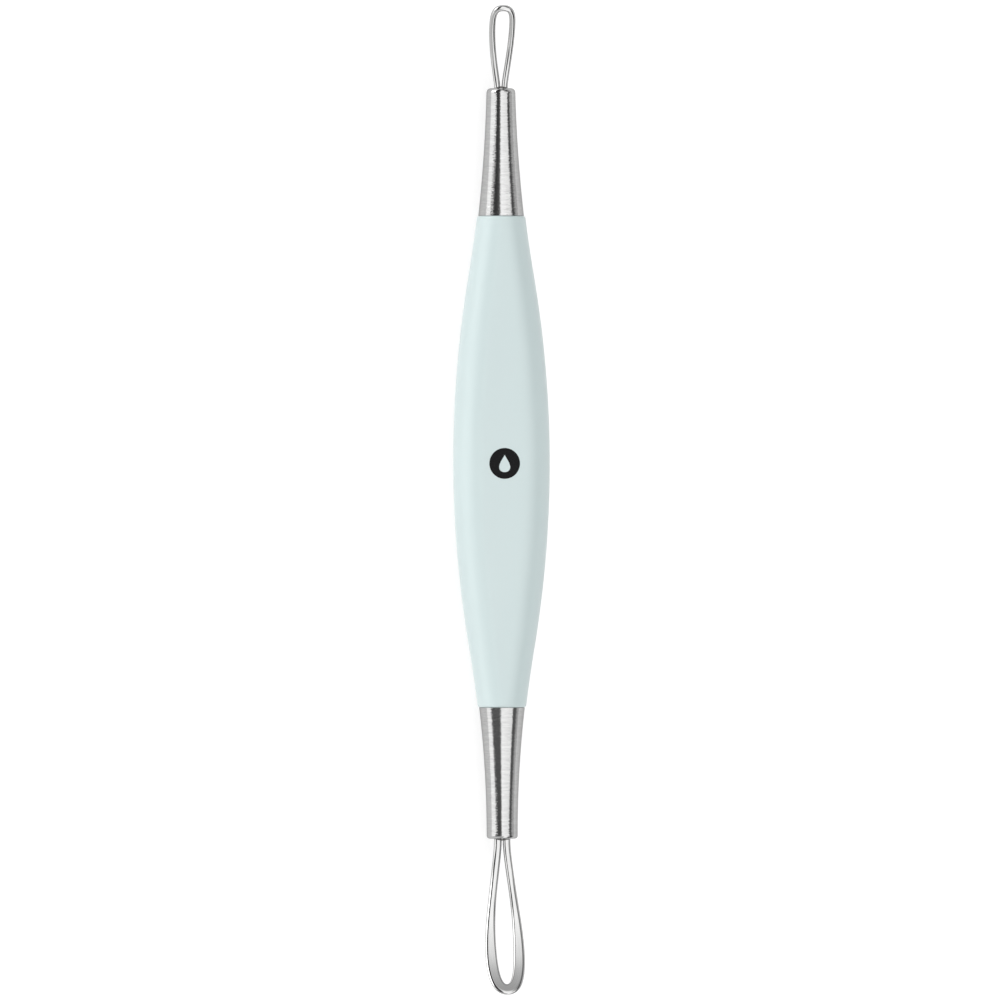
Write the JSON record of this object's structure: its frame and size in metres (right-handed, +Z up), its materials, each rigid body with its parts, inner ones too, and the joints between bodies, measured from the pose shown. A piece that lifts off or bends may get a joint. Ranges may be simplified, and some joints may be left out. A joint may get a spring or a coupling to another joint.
{
  "type": "blackhead extractor",
  "caption": "Two-ended skin-care tool: an oval pale mint grip between flared steel ferrules, with a narrow round-wire loop at one end and a wider flattened loop at the other.",
  "frame": {"origin": "under the middle of the whole tool's length and width, on the surface the tool lies on", "axes": "+Y along the tool towards the small loop, +X across it, +Z up from the surface, the way both loops curve"},
  "size_m": [0.0122, 0.125, 0.0094],
  "materials": {
    "grip_plastic": "pale mint moulded plastic with a fine satin grain",
    "ferrule_steel": "turned stainless steel, satin polished round the axis",
    "loop_wire": "bright polished stainless steel wire",
    "braze_filler": "dull silver-grey brazing filler"
  },
  "bodies": {
    "root": {"grip": "grip_plastic", "small_loop_ferrule": "ferrule_steel", "large_loop_ferrule": "ferrule_steel", "small_loop": "loop_wire", "large_loop": "loop_wire", "small_loop_braze": "braze_filler", "large_loop_braze": "braze_filler"}
  },
  "joints": []
}
